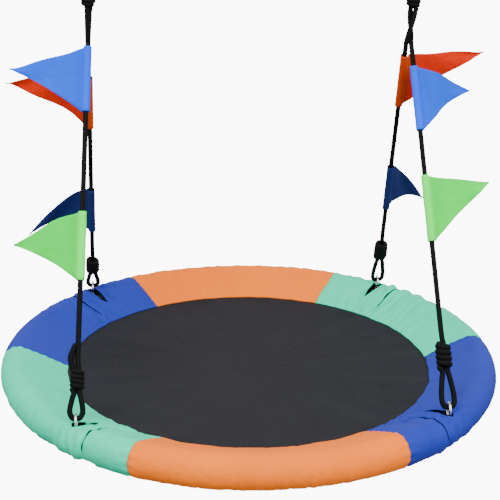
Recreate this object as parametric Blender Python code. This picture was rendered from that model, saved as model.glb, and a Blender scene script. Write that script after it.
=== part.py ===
"""Saucer nest swing: padded steel ring, fabric deck, four knotted ropes, eight pennants, two snap hooks.

Metres, +Z up. The origin is midway between the two hang points, which are the inside tops of the
two snap hooks. +X is the swing's right, -Y its front.
"""

from math import atan2, ceil, cos, floor, hypot, pi, radians, sin

import bmesh
import bpy
from mathutils import Matrix, Vector

# ---- Driving dimensions ----
GAP = 0.0003                 # clearance between pieces that touch
SAUCER_RADIUS = 0.500        # outside of the padded rim
SAUCER_Z = -0.847            # centre plane of the steel ring, below the hang points
PAD_RADIUS = 0.031           # outside of the padded rim's round section
RING_RADIUS = SAUCER_RADIUS - PAD_RADIUS
STATION = 7.5                # degrees between the stations of every piece bent round the ring

TUBE_RADIUS = 0.0125
TUBE_WALL = 0.0015
SPIGOT_LENGTH = 0.036        # reduced end that slides into the next tube
FOAM_BORE = TUBE_RADIUS + 0.0008
FOAM_RADIUS = 0.0275
COVER_THICKNESS = 0.0016
SEAM_RADIUS = 0.369          # where the cover is sewn to the deck
SEAM_Z = -0.013              # of that seam, from the centre plane
SEAM_HALF = 0.0022           # half the thickness of the folded hem there
DECK_THICKNESS = 0.0016
DECK_SAG = 0.012
COVER_TIP = 0.012            # from the seam to where the two layers of a cover part
FOAM_GAP = 0.013             # bare tube left at each end of a foam sleeve

EYE_SLIT = 0.066             # length of the slit that an eye stands in, from the rim's crest inwards
EYE_SLIT_ROUND = 0.0152      # radius of its round end on the crest
SIDE_SLIT = 0.050            # length of the closed slit beside it
SIDE_SLIT_WIDTH = 0.003
SIDE_SLIT_INSET = 0.012      # from the rim's crest to the start of that slit
# Degrees round the ring from an eye to the closed slit beside it
SIDE_SLIT_STEP = {"front_right": -4.0, "front_left": 4.3, "back_right": -6.7, "back_left": 7.0}

EYE_WIRE = 0.0025            # radius of the eye bolt's wire
EYE_RADIUS = 0.0115          # of its centre line
EYE_Z = 0.034                # of the eye's centre, from the centre plane
SHANK_RADIUS = 0.003
COLLAR_RADIUS = 0.0050       # of the collar that stops the bolt on the tube
COLLAR_HEIGHT = 0.0030
EYE_NECK = 0.0028            # radius where the shank meets the eye
BOLT_END = 0.002             # of the shank past its nut
NUT_ACROSS = 0.0100
NUT_HEIGHT = 0.0048

ROPE_RADIUS = 0.0045
TOP_X = 0.303                # of the hang points, and of the top knots below them
MERGE_X = {"right": 0.298, "left": 0.306}
MERGE_Z = -0.207             # where the front and back ropes of a side meet
PAIR_OFFSET = 0.0048         # of each rope from the axis of its pair
PAIR_START = {"right": 0.0, "left": -90.0}  # direction of the front rope from that axis
TWIST = {"right": 180.0, "left": -30.0}     # of the pair, from there to the top knot
TOP_KNOT_BOTTOM = -0.141
TOP_KNOT_LENGTH = 0.030
KNOT_CREST = 0.0142          # radius over a wrapped knot's turns
KNOT_VALLEY = 0.0124         # radius between them
KNOT_END = 0.0098            # radius at the knot's ends
NOOSE_SLACK = 0.001          # between a noose and the wire it hangs from

HOOK_WIRE = 0.004
HOOK_HALF_WIDTH = 0.017
HOOK_INSIDE = 0.064          # length of the inside of a snap hook
RING_WIRE = 0.003
RING_CLEARANCE = 0.0006      # between the top ring and the bar it turns on
TOP_RING_RADIUS = 0.020
PIN_Z = -0.0448              # of the gate's hinge pin
PIN_RADIUS = 0.0015
TONGUE = 0.0030              # thickness of the hook's tongue, between the gate's cheeks
GATE_RADIUS = 0.0038
NOSE_Z = -0.0130             # of the hook's end, above the gate

SLEEVE_BORE = 0.0053
SLEEVE_OUT = 0.0072
CLOTH_HALF = 0.0006
POLE = 0.125                 # height of a pennant along its rope
PENNANT = 0.180              # length of a pennant from its sleeve to its tip

# Corner: x side, y side, loop length, knot length, wraps, length of the tail left above the knot
CORNERS = {
    "front_right": (1, -1, 0.066, 0.051, 4, 0.0),
    "front_left": (-1, -1, 0.046, 0.042, 4, 0.036),
    "back_right": (1, 1, 0.076, 0.056, 5, 0.0),
    "back_left": (-1, 1, 0.046, 0.046, 4, 0.0),
}

# Pennant: corner, distance of its middle up the rope, swing outward, tilt of its tip, bow of the cloth
PENNANTS = {
    "flag_azure_front_left": ("front_left", 0.6178, -33, 14, 0.006),
    "flag_lime_front_left": ("front_left", 0.3065, -45, 6, 0.006),
    "flag_orange_back_left": ("back_left", 0.5419, 26, -4, 0.008),
    "flag_navy_back_left": ("back_left", 0.2456, 18, -37, 0.012),
    "flag_azure_front_right": ("front_right", 0.5787, -37, 14, 0.008),
    "flag_lime_front_right": ("front_right", 0.3665, -31, 20, 0.006),
    "flag_orange_back_right": ("back_right", 0.5974, 19, 7, 0.006),
    "flag_navy_back_right": ("back_right", 0.3035, 43, -42, 0.010),
}

# Colour, roughness, metallic
MINT = ((0.07, 0.88, 0.46), 0.75, 0.0)
ORANGE = ((1.0, 0.31, 0.07), 0.75, 0.0)
ROYAL = ((0.04, 0.10, 0.46), 0.75, 0.0)
DECK = ((0.034, 0.037, 0.046), 0.80, 0.0)
BLACK_CORD = ((0.010, 0.010, 0.012), 0.85, 0.0)
STEEL = ((0.62, 0.62, 0.64), 0.25, 1.0)
FRAME_STEEL = ((0.45, 0.46, 0.47), 0.40, 1.0)
FOAM = ((0.10, 0.10, 0.11), 0.90, 0.0)
AZURE = ((0.07, 0.29, 0.95), 0.70, 0.0)
LIME = ((0.17, 0.78, 0.20), 0.70, 0.0)
FLAME = ((0.83, 0.08, 0.01), 0.70, 0.0)
NAVY = ((0.01, 0.04, 0.17), 0.70, 0.0)
PENNANT_FINISH = {"azure": AZURE, "lime": LIME, "orange": FLAME, "navy": NAVY}

COVERS = (
    ("cover_green_back_right", 0, MINT),
    ("cover_orange_back", 60, ORANGE),
    ("cover_blue_back_left", 120, ROYAL),
    ("cover_green_front_left", 180, MINT),
    ("cover_orange_front", 240, ORANGE),
    ("cover_blue_front_right", 300, ROYAL),
)
COVER_OF_CORNER = {
    "front_right": "cover_blue_front_right",
    "front_left": "cover_green_front_left",
    "back_right": "cover_green_back_right",
    "back_left": "cover_blue_back_left",
}


# ---- Scene, objects and materials ----
def clear_scene():
    for old in list(bpy.data.objects):
        bpy.data.objects.remove(old, do_unlink=True)


def material(name, finish):
    colour, roughness, metallic = finish
    made = bpy.data.materials.new(name)
    made.use_nodes = True
    shader = made.node_tree.nodes["Principled BSDF"]
    shader.inputs["Base Color"].default_value = (*colour, 1.0)
    shader.inputs["Roughness"].default_value = roughness
    shader.inputs["Metallic"].default_value = metallic
    made.diffuse_color = (*colour, 1.0)
    return made


def add(name, data, finish, parent=None):
    """A node: its name, its mesh or curve, its finish and the empty that it hangs from."""
    obj = bpy.data.objects.new(name, data)
    data.materials.clear()
    data.materials.append(material(name, finish))
    bpy.context.collection.objects.link(obj)
    if parent:
        obj.parent = parent
    return obj


def helper(name, data):
    """A cutter or a shape to join: it isn't part of the object."""
    obj = bpy.data.objects.new(name, data)
    bpy.context.collection.objects.link(obj)
    obj.hide_render = True
    obj.display_type = "WIRE"
    return obj


def axis_empty(name, place, parent=None):
    empty = bpy.data.objects.new(name, None)
    empty.empty_display_size = 0.03
    empty.location = place if parent is None else Vector(place) - parent.matrix_world.translation
    bpy.context.collection.objects.link(empty)
    empty.parent = parent
    bpy.context.view_layer.update()
    return empty


def boolean(obj, operation, other):
    cut = obj.modifiers.new(operation.title() + "_" + other.name, "BOOLEAN")
    cut.operation = operation
    cut.solver = "EXACT"
    cut.object = other
    return cut


def mesh_from(name, bm, smooth=35.0):
    bmesh.ops.recalc_face_normals(bm, faces=bm.faces)
    data = bpy.data.meshes.new(name)
    bm.to_mesh(data)
    bm.free()
    data.shade_smooth()
    data.set_sharp_from_angle(angle=radians(smooth))
    return data


# ---- Shape builders ----
def skin(loops, closed_path=False, holes=None):
    """Joins loops of points with quads into one closed body. With holes, each loop has an inner loop too."""
    bm = bmesh.new()
    outer = [[bm.verts.new(p) for p in loop] for loop in loops]
    inner = [[bm.verts.new(p) for p in loop] for loop in holes] if holes else None
    count = len(loops)
    for rows in filter(None, (outer, inner)):
        size = len(rows[0])
        for i in range(count if closed_path else count - 1):
            a, b = rows[i], rows[(i + 1) % count]
            for j in range(size):
                k = (j + 1) % size
                bm.faces.new((a[j], a[k], b[k], b[j]))
    if not closed_path:
        for end in (0, -1):
            if not inner:
                bm.faces.new(outer[end])
                continue
            size = len(outer[end])
            for j in range(size):
                k = (j + 1) % size
                bm.faces.new((outer[end][j], outer[end][k], inner[end][k], inner[end][j]))
    return bm


def circle_loop(centre, axis, reference, radius, sides):
    """Points of a circle about axis, the first of them towards reference."""
    axis = axis.normalized()
    first = (reference - axis * reference.dot(axis)).normalized()
    second = axis.cross(first)
    turn = 2 * pi / sides
    return [
        centre + radius * (first * cos((j + 0.5) * turn) + second * sin((j + 0.5) * turn))
        for j in range(sides)
    ]


def sweep(points, radius, sides, reference, closed=False):
    """A round bar along points, with flat ends unless it is closed."""
    loops = []
    count = len(points)
    for i, point in enumerate(points):
        before = points[i - 1] if closed or i else points[0]
        after = points[(i + 1) % count] if closed or i < count - 1 else points[-1]
        loops.append(circle_loop(point, after - before, reference, radius, sides))
    return skin(loops, closed_path=closed)


def lathe(profile, sides, axis_at, axis_to):
    """Turns (radius, height) pairs round the line from axis_at towards axis_to, heights from axis_at."""
    axis = (axis_to - axis_at).normalized()
    reference = Vector((1, 0, 0)) if abs(axis.x) < 0.9 else Vector((0, 1, 0))
    loops = [circle_loop(axis_at + axis * h, axis, reference, r, sides) for r, h in profile]
    return skin(loops)


def smooth_route(route, spacing):
    """Points a spacing apart on a Catmull-Rom curve through the route's points."""
    ends = [2 * route[0] - route[1], *route, 2 * route[-1] - route[-2]]
    fine = []
    for i in range(len(route) - 1):
        a, b, c, d = ends[i : i + 4]
        for step in range(12):
            t = step / 12
            fine.append(
                0.5 * (2 * b + (c - a) * t + (2 * a - 5 * b + 4 * c - d) * t**2
                       + (3 * b - a - 3 * c + d) * t**3)
            )
    fine.append(route[-1])
    total = sum((q - p).length for p, q in zip(fine, fine[1:]))
    count = max(2, ceil(total / spacing))
    points, walked, wanted = [fine[0]], 0.0, total / count
    for p, q in zip(fine, fine[1:]):
        length = (q - p).length
        while length and walked + length >= wanted * len(points) and len(points) < count:
            points.append(p.lerp(q, (wanted * len(points) - walked) / length))
        walked += length
    return [*points, fine[-1]]


# ---- Pieces bent round the ring ----
def ring_place(degrees, radius, height):
    """A place at this angle on the many-sided ring that all the bent pieces share."""
    low = STATION * floor(degrees / STATION + 1e-9)
    share = (degrees - low) / STATION
    a, b = radians(low), radians(low + STATION)
    along = Vector((cos(a), sin(a), 0)).lerp(Vector((cos(b), sin(b), 0)), share)
    return Vector((along.x * radius, along.y * radius, SAUCER_Z + height))


def stations(start, end):
    first = floor(start / STATION + 1e-9) + 1
    last = ceil(end / STATION - 1e-9) - 1
    return [start, *(STATION * i for i in range(first, last + 1)), end]


def degrees_of(length):
    return length / RING_RADIUS * 180 / pi


def round_section(radius, sides):
    turn = 2 * pi / sides
    return [
        (RING_RADIUS + radius * cos((j + 0.5) * turn), radius * sin((j + 0.5) * turn))
        for j in range(sides)
    ]


def bent_loops(section, angles):
    return [[ring_place(a, r, z) for r, z in section] for a in angles]


def tip_angle(radius, tip_z):
    """Where a line from the seam touches the round section, as an angle about its centre."""
    reach = hypot(RING_RADIUS - SEAM_RADIUS, tip_z)
    towards = atan2(tip_z, SEAM_RADIUS - RING_RADIUS)
    return towards, pi / 2 - atan2(radius, (reach**2 - radius**2) ** 0.5)


def cover_section(radius, tip_radius, half, arc_points):
    """A tear drop: the padded rim's round section, drawn in to the seam."""
    points = [(tip_radius, SEAM_Z + half)]
    top, spread_top = tip_angle(radius, SEAM_Z + half)
    low, spread_low = tip_angle(radius, SEAM_Z - half)
    start = top % (2 * pi) - spread_top
    end = low % (2 * pi) + spread_low - 2 * pi
    for j in range(arc_points + 1):
        angle = start + (end - start) * j / arc_points
        points.append((RING_RADIUS + radius * cos(angle), radius * sin(angle)))
    points.append((tip_radius, SEAM_Z - half))
    return points


def frame_tube(name, start):
    """A quarter of the ring: a hollow tube whose reduced end fits inside the tube before it."""
    sides = 8
    bore = TUBE_RADIUS - TUBE_WALL
    step = degrees_of(GAP)
    spigot = degrees_of(SPIGOT_LENGTH)
    body = stations(start + step, start + 90 - step)
    neck = stations(start - spigot, start + step)
    slim = bore - GAP
    outer = bent_loops(round_section(slim, sides), neck) + bent_loops(round_section(TUBE_RADIUS, sides), body)
    inner = bent_loops(round_section(slim - TUBE_WALL, sides), neck)
    inner += bent_loops(round_section(slim - TUBE_WALL, sides), body[:1])
    inner += bent_loops(round_section(bore, sides), body[1:])
    return add(name, mesh_from(name, skin(outer, holes=inner)), FRAME_STEEL)


def screw_profile(extra):
    """A countersunk screw, point first: its length runs inwards from the tube's skin."""
    head, shank = 0.0032 + extra, 0.0016 + extra
    top = 0.001 if extra else -GAP
    return [(shank, -0.0075 - extra), (shank, -0.0022 - extra), (head, -0.0008 - extra), (head, top)]


def joint_screws(tubes):
    """One countersunk screw under each joint, through the socket and into the spigot."""
    names = ("right", "back", "left", "front")
    for i, name in enumerate(names):
        place = ring_place(i * 90 - degrees_of(SPIGOT_LENGTH / 2), RING_RADIUS, 0)
        # The tube is eight-sided, so its lowest faces lie a little inside its radius.
        skin_z = -TUBE_RADIUS * cos(pi / 8)
        at = place + Vector((0, 0, skin_z))
        down = at - Vector((0, 0, 1))
        cutter = helper("cut_screw_" + name, mesh_from(
            "cut_screw_" + name, lathe(screw_profile(GAP), 8, at, down)))
        for tube in (tubes[i], tubes[i - 1]):
            boolean(tube, "DIFFERENCE", cutter)
        screw = lathe(screw_profile(0.0), 8, at, down)
        add("joint_screw_" + name, mesh_from("joint_screw_" + name, screw), STEEL)


def foam_sleeve(name, middle):
    half = 45 - degrees_of(FOAM_GAP)
    angles = stations(middle - half, middle + half)
    outer = bent_loops(round_section(FOAM_RADIUS, 8), angles)
    inner = bent_loops(round_section(FOAM_BORE, 8), angles)
    add(name, mesh_from(name, skin(outer, holes=inner)), FOAM)


def upper_cutter(name, outline):
    """Cuts this outline through the upper layer of a cover only."""
    low, high = Vector((0, 0, SAUCER_Z - 0.002)), Vector((0, 0, SAUCER_Z + 0.060))
    return helper(name, mesh_from(name, skin([[p + z for p in outline] for z in (low, high)])))


def eye_slit(corner, degrees):
    """A wedge from the seam's side to the rim's crest, where it ends round, for an eye and its noose."""
    outward = Vector((cos(radians(degrees)), sin(radians(degrees)), 0))
    across = Vector((-outward.y, outward.x, 0))
    mouth = outward * RING_RADIUS
    outline = [mouth - outward * EYE_SLIT]
    arc = 8
    for j in range(arc + 1):
        turn = radians(-120 + 240 * j / arc)
        outline.append(mouth + EYE_SLIT_ROUND * (outward * cos(turn) + across * sin(turn)))
    return upper_cutter("cut_eye_" + corner, outline)


def side_slit(corner, degrees):
    """A narrow lens inside the crest, where the cover's two edges lie close together."""
    outward = Vector((cos(radians(degrees)), sin(radians(degrees)), 0))
    across = Vector((-outward.y, outward.x, 0)) * SIDE_SLIT_WIDTH / 2
    mouth = outward * (RING_RADIUS - SIDE_SLIT_INSET)
    middle = mouth - outward * SIDE_SLIT / 2
    outline = [mouth - outward * SIDE_SLIT, middle - across, mouth, middle + across]
    return upper_cutter("cut_slit_" + corner, outline)


def covers():
    arc_points = 7
    outer_section = cover_section(PAD_RADIUS, SEAM_RADIUS, SEAM_HALF, arc_points)
    inner_section = cover_section(
        PAD_RADIUS - COVER_THICKNESS, SEAM_RADIUS + COVER_TIP, SEAM_HALF / 3, arc_points)
    step = degrees_of(GAP / 2)
    made = {}
    for name, start, finish in COVERS:
        angles = stations(start + step, start + 60 - step)
        body = skin(bent_loops(outer_section, angles), holes=bent_loops(inner_section, angles))
        made[name] = add(name, mesh_from(name, body), finish)
    for corner, (x_side, y_side, *_rest) in CORNERS.items():
        angle = atan2(y_side, x_side) * 180 / pi
        cover = made[COVER_OF_CORNER[corner]]
        boolean(cover, "DIFFERENCE", eye_slit(corner, angle))
        boolean(cover, "DIFFERENCE", side_slit(corner, angle + SIDE_SLIT_STEP[corner]))


def deck():
    """A round sheet, sewn to the covers all round and sagging a little in the middle."""
    radius = SEAM_RADIUS - GAP
    rings = (0.05, 0.45, 0.8, 1.0)
    angles = [STATION * i for i in range(int(360 / STATION))]

    def height(share):
        return SEAM_Z - DECK_SAG * (1 - share**2)

    half = DECK_THICKNESS / 2
    rows = [(share, half) for share in rings] + [(share, -half) for share in reversed(rings)]
    loops = [[ring_place(a, radius * share, height(share) + z) for a in angles] for share, z in rows]
    add("deck_fabric", mesh_from("deck_fabric", skin(loops)), DECK)


# ---- Eye bolts ----
def eye_place(x_side, y_side):
    half = RING_RADIUS * cos(pi / 4)
    return Vector((x_side * half, y_side * half, SAUCER_Z))


def eye_bolts(tubes):
    """A wire eye standing fore and aft, its shank down through the tube to a nut."""
    tube_of = {"back_right": 0, "back_left": 1, "front_left": 2, "front_right": 3}
    shank_top = EYE_Z - EYE_RADIUS
    shank_end = -TUBE_RADIUS - NUT_HEIGHT - BOLT_END
    for corner, (x_side, y_side, *_rest) in CORNERS.items():
        centre = eye_place(x_side, y_side)
        up = Vector((0, 0, 1))
        ring = [
            centre + up * EYE_Z + EYE_RADIUS * Vector((0, sin(2 * pi * i / 14), cos(2 * pi * i / 14)))
            for i in range(14)
        ]
        name = "eye_bolt_" + corner
        bolt = add(name, mesh_from(name, sweep(ring, EYE_WIRE, 6, Vector((1, 0, 0)), closed=True)), STEEL)
        # A collar at the foot of the eye stops the bolt on the tube.
        profile = [
            (SHANK_RADIUS, shank_end), (SHANK_RADIUS, TUBE_RADIUS + GAP),
            (COLLAR_RADIUS, TUBE_RADIUS + GAP), (COLLAR_RADIUS, TUBE_RADIUS + COLLAR_HEIGHT),
            (EYE_NECK, shank_top),
        ]
        shank = helper("shank_" + corner, mesh_from(
            "shank_" + corner, lathe(profile, 8, centre, centre + up)))
        boolean(bolt, "UNION", shank)
        hole = helper("cut_bolt_" + corner, mesh_from("cut_bolt_" + corner, lathe(
            [(SHANK_RADIUS + GAP, -0.03), (SHANK_RADIUS + GAP, 0.03)], 8, centre, centre + up)))
        boolean(tubes[tube_of[corner]], "DIFFERENCE", hole)
        nut_name = "eye_nut_" + corner
        nut_top = -TUBE_RADIUS - GAP
        bore_radius = (SHANK_RADIUS + GAP) / cos(pi / 6)
        bore = [circle_loop(centre + up * z, up, Vector((1, 0, 0)), bore_radius, 6)
                for z in (nut_top - NUT_HEIGHT, nut_top)]
        hexagon = [circle_loop(centre + up * z, up, Vector((1, 0, 0)), NUT_ACROSS / 3**0.5, 6)
                   for z in (nut_top - NUT_HEIGHT, nut_top)]
        add(nut_name, mesh_from(nut_name, skin(hexagon, holes=bore)), STEEL)


# ---- Ropes ----
def bend_place(x_side, y_side):
    """The lowest point of a noose's centre line, under the wire of its eye."""
    height = EYE_Z + EYE_RADIUS - EYE_WIRE - ROPE_RADIUS - NOOSE_SLACK
    return eye_place(x_side, y_side) + Vector((0, 0, height))


def pair_start(corner):
    """The direction of a rope from the axis of its pair, where the two ropes meet."""
    start = radians(PAIR_START[corner.split("_")[1]])
    return start if corner.startswith("front") else start + pi


def rope_line(corner):
    """(foot, unit vector up the rope, where it meets its pair, distance to there)."""
    x_side, y_side, *_rest = CORNERS[corner]
    side_name = corner.split("_")[1]
    foot = bend_place(x_side, y_side)
    start = pair_start(corner)
    meet = Vector((x_side * MERGE_X[side_name], 0, MERGE_Z))
    meet += PAIR_OFFSET * Vector((cos(start), sin(start), 0))
    return foot, (meet - foot).normalized(), meet, (meet - foot).length


def rope(corner):
    """The rope from the top of its noose's knot to the knot at the top of its pair."""
    x_side, _y, loop, knot, _wraps, _tail = CORNERS[corner]
    side_name = corner.split("_")[1]
    foot, up, meet, length = rope_line(corner)
    start = loop + knot + GAP
    route = [foot + up * (start + (length - start) * share) for share in (0, 0.25, 0.5, 0.75, 0.95)]
    route.append(meet)
    steps = 7
    square_end = 0.005
    low = Vector((x_side * MERGE_X[side_name], 0, MERGE_Z))
    high = Vector((x_side * TOP_X, 0, TOP_KNOT_BOTTOM - GAP - square_end))
    for i in range(1, steps + 1):
        angle = pair_start(corner) + radians(TWIST[side_name]) * i / steps
        offset = PAIR_OFFSET * Vector((cos(angle), sin(angle), 0))
        route.append(low.lerp(high, i / steps) + offset)
    route.append(route[-1] + Vector((0, 0, square_end)))
    points = smooth_route(route[:6], 0.027) + route[6:]
    curve = bpy.data.curves.new("rope_" + corner, "CURVE")
    curve.dimensions = "3D"
    curve.bevel_depth = ROPE_RADIUS
    curve.bevel_resolution = 2
    curve.use_fill_caps = True
    spline = curve.splines.new("POLY")
    spline.points.add(len(points) - 1)
    for target, point in zip(spline.points, points):
        target.co = (*point, 1.0)
    add("rope_" + corner, curve, BLACK_CORD)


def knot_profile(length, wraps):
    """A wrapped knot's outline, one crest to each turn of rope, heights from its foot."""
    pitch = length / wraps
    profile = [(KNOT_END, 0.0)]
    for i in range(wraps):
        profile.append((KNOT_CREST, (i + 0.5) * pitch))
        if i < wraps - 1:
            profile.append((KNOT_VALLEY, (i + 1) * pitch))
    profile.append((KNOT_END, length))
    return profile


def noose(corner):
    """The loop through an eye bolt and the wrapped knot that closes it."""
    _x, _y, loop, knot, wraps, tail = CORNERS[corner]
    foot, up, _meet, _length = rope_line(corner)
    side = (Vector((1, 0, 0)) - up * up.x).normalized()
    half = [(0.0, 0.0), (0.0080, 0.0030), (0.0112, 0.0110), (0.0112, 0.35 * loop),
            (0.0080, 0.72 * loop), (0.0052, loop), (0.0050, loop + 0.006)]
    route = [foot - side * s + up * h for s, h in reversed(half[1:])]
    route += [foot + side * s + up * h for s, h in half]
    name = "noose_" + corner
    strand = sweep(smooth_route(route, 0.0105), ROPE_RADIUS, 8, up.cross(side))
    obj = add(name, mesh_from(name, strand), BLACK_CORD)
    base = foot + up * loop
    wrapped = helper("knot_" + corner, mesh_from("knot_" + corner, lathe(
        knot_profile(knot, wraps), 12, base, base + up)))
    joined = [wrapped]
    if tail:
        top = loop + knot
        ways = ((0.0105, -0.006), (0.0125, 0.008), (0.0120, 0.6 * tail), (0.0102, tail))
        points = [foot - side * s + up * (top + h) for s, h in ways]
        joined.append(helper("tail_" + corner, mesh_from("tail_" + corner, sweep(
            smooth_route(points, 0.012), ROPE_RADIUS, 8, up.cross(side)))))
    for other in joined:
        boolean(obj, "UNION", other)


def top_knot(side_name, x_side):
    """The knot that ties a pair of ropes, with its two turns over the steel ring."""
    x = x_side * TOP_X
    wire_z = top_ring_centre() - TOP_RING_RADIUS
    reach = RING_WIRE + ROPE_RADIUS + 0.003
    knot_top = TOP_KNOT_BOTTOM + TOP_KNOT_LENGTH
    name = "top_knot_" + side_name
    foot = Vector((x, 0, TOP_KNOT_BOTTOM))
    outline = [(0.0098, 0.0), (0.0132, 0.005), (0.0116, 0.010), (0.0138, 0.015), (0.0120, 0.020),
               (0.0138, 0.025), (0.0112, TOP_KNOT_LENGTH)]
    obj = add(name, mesh_from(name, lathe(outline, 12, foot, foot + Vector((0, 0, 1)))), BLACK_CORD)
    for label, y in (("near", -PAIR_OFFSET), ("far", PAIR_OFFSET)):
        arc = 6
        points = [Vector((x - 0.0066, y, knot_top - 0.006)), Vector((x - reach, y, wire_z))]
        points += [
            Vector((x - reach * cos(pi * i / arc), y, wire_z + reach * sin(pi * i / arc)))
            for i in range(1, arc)
        ]
        points += [Vector((x + reach, y, wire_z)), Vector((x + 0.0066, y, knot_top - 0.006))]
        eye = helper("eye_%s_%s" % (side_name, label), mesh_from(
            "eye_%s_%s" % (side_name, label), sweep(points, ROPE_RADIUS, 8, Vector((0, 1, 0)))))
        boolean(obj, "UNION", eye)


# ---- Snap hooks and rings ----
def hook_bar_z():
    """Centre of the bar at the foot of a snap hook; the inside of its top is at z = 0."""
    return -HOOK_INSIDE - HOOK_WIRE


def top_ring_centre():
    return hook_bar_z() + HOOK_WIRE + RING_CLEARANCE + RING_WIRE - TOP_RING_RADIUS


def top_ring(side_name, x_side):
    centre = Vector((x_side * TOP_X, 0, top_ring_centre()))
    points = [
        centre + TOP_RING_RADIUS * Vector((0, sin(2 * pi * i / 20), cos(2 * pi * i / 20)))
        for i in range(20)
    ]
    name = "top_ring_" + side_name
    add(name, mesh_from(name, sweep(points, RING_WIRE, 6, Vector((1, 0, 0)), closed=True)), STEEL)


def box(low, high):
    loops = []
    for z in (low[2], high[2]):
        corners = ((low[0], low[1]), (high[0], low[1]), (high[0], high[1]), (low[0], high[1]))
        loops.append([Vector((x, y, z)) for x, y in corners])
    return skin(loops)


def snap_hook(side_name, x_side):
    """A snap hook in the XZ plane: a bent bar, and a sprung gate on its pin."""
    middle = x_side * TOP_X
    gate_x = middle + HOOK_HALF_WIDTH
    arc = 10
    low_z, high_z = hook_bar_z() + HOOK_HALF_WIDTH, HOOK_WIRE - HOOK_HALF_WIDTH
    points = [Vector((gate_x, 0, low_z - 0.0005 + GAP))]
    points += [
        Vector((middle + HOOK_HALF_WIDTH * cos(pi * i / arc), 0, low_z - HOOK_HALF_WIDTH * sin(pi * i / arc)))
        for i in range(1, arc + 1)
    ]
    points += [
        Vector((middle - HOOK_HALF_WIDTH * cos(pi * i / arc), 0, high_z + HOOK_HALF_WIDTH * sin(pi * i / arc)))
        for i in range(arc + 1)
    ]
    name = "carabiner_" + side_name
    body = add(name, mesh_from(name, sweep(points, HOOK_WIRE, 8, Vector((0, 1, 0)))), STEEL)
    tongue = helper("tongue_" + side_name, mesh_from("tongue_" + side_name, box(
        (gate_x - 0.0034, -TONGUE / 2, low_z - 0.004), (gate_x + 0.0034, TONGUE / 2, PIN_Z + 0.0032))))
    boolean(body, "UNION", tongue)
    pin_at = Vector((gate_x, 0, PIN_Z))
    across = pin_at + Vector((0, 1, 0))
    hole = helper("cut_pin_" + side_name, mesh_from("cut_pin_" + side_name, lathe(
        [(PIN_RADIUS + GAP, -0.01), (PIN_RADIUS + GAP, 0.01)], 8, pin_at, across)))
    boolean(body, "DIFFERENCE", hole)
    pin_name = "gate_pin_" + side_name
    pin_half = GATE_RADIUS + 0.0004
    add(pin_name, mesh_from(pin_name, lathe(
        [(PIN_RADIUS, -pin_half), (PIN_RADIUS, pin_half)], 8, pin_at, across)), STEEL)
    gate_axis = axis_empty("gate_axis_" + side_name, pin_at)
    gate_name = "carabiner_gate_" + side_name
    foot = Vector((gate_x, 0, PIN_Z - 0.003))
    gate_length = NOSE_Z - 0.0006 - foot.z
    rod = lathe([(GATE_RADIUS, 0.0), (GATE_RADIUS, gate_length)], 8, foot, foot + Vector((0, 0, 1)))
    bmesh.ops.translate(rod, verts=rod.verts, vec=-pin_at)
    gate = add(gate_name, mesh_from(gate_name, rod), STEEL, gate_axis)
    slot = helper("cut_fork_" + side_name, mesh_from("cut_fork_" + side_name, box(
        (gate_x - 0.01, -TONGUE / 2 - GAP, PIN_Z - 0.01), (gate_x + 0.01, TONGUE / 2 + GAP, PIN_Z + 0.0052))))
    boolean(gate, "DIFFERENCE", slot)
    boolean(gate, "DIFFERENCE", hole)


# ---- Pennants ----
def pennant(name, parent):
    """A triangular pennant: a sleeve round the rope and a bowed triangle of cloth."""
    corner, distance, swing, tilt, bow = PENNANTS[name]
    x_side, y_side, *_rest = CORNERS[corner]
    foot, up, _meet, _length = rope_line(corner)
    middle = foot + up * distance
    outward = (Vector((x_side, 0, 0)) - up * up.x * x_side).normalized()
    turn = Matrix.Rotation(radians(swing) * x_side * y_side, 3, up)
    away = turn @ outward
    normal = up.cross(away)
    reach, rise = PENNANT * cos(radians(tilt)), PENNANT * sin(radians(tilt))
    near = (SLEEVE_BORE + SLEEVE_OUT) / 2
    steps = 7
    loops = []
    for i in range(steps + 1):
        share = i / steps
        half = max(POLE / 2 * (1 - share), 0.002)
        centre = up * rise * share + away * (near + (reach - near) * share) + normal * bow * sin(pi * share)
        loops.append([
            centre + up * half + normal * CLOTH_HALF, centre + up * half - normal * CLOTH_HALF,
            centre - up * half - normal * CLOTH_HALF, centre - up * half + normal * CLOTH_HALF,
        ])
    axis = axis_empty(name + "_axis", middle, parent)
    obj = add(name, mesh_from(name, skin(loops)), PENNANT_FINISH[name.split("_")[1]], axis)
    ends = (-POLE / 2, POLE / 2)
    tube = skin(
        [circle_loop(middle + up * h, up, outward, SLEEVE_OUT, 8) for h in ends],
        holes=[circle_loop(middle + up * h, up, outward, SLEEVE_BORE, 8) for h in ends])
    boolean(obj, "UNION", helper("sleeve_" + name, mesh_from("sleeve_" + name, tube)))


def hang(obj, parent):
    """Parents a piece to the empty on its joint's axis, and leaves it where it was modelled."""
    obj.parent = parent
    obj.matrix_parent_inverse = parent.matrix_world.inverted()


def made_by(build, *args):
    """The nodes that a builder adds."""
    before = set(bpy.data.objects)
    build(*args)
    return [o for o in set(bpy.data.objects) - before if not o.hide_render and o.type != "EMPTY"]


def saucer():
    quarters = ("back_right", "back_left", "front_left", "front_right")
    tubes = [frame_tube("frame_tube_" + quarter, 90 * i) for i, quarter in enumerate(quarters)]
    joint_screws(tubes)
    eye_bolts(tubes)
    for i, name in enumerate(("right", "back", "left", "front")):
        foam_sleeve("foam_sleeve_" + name, 90 * i)
    covers()
    deck()


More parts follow.
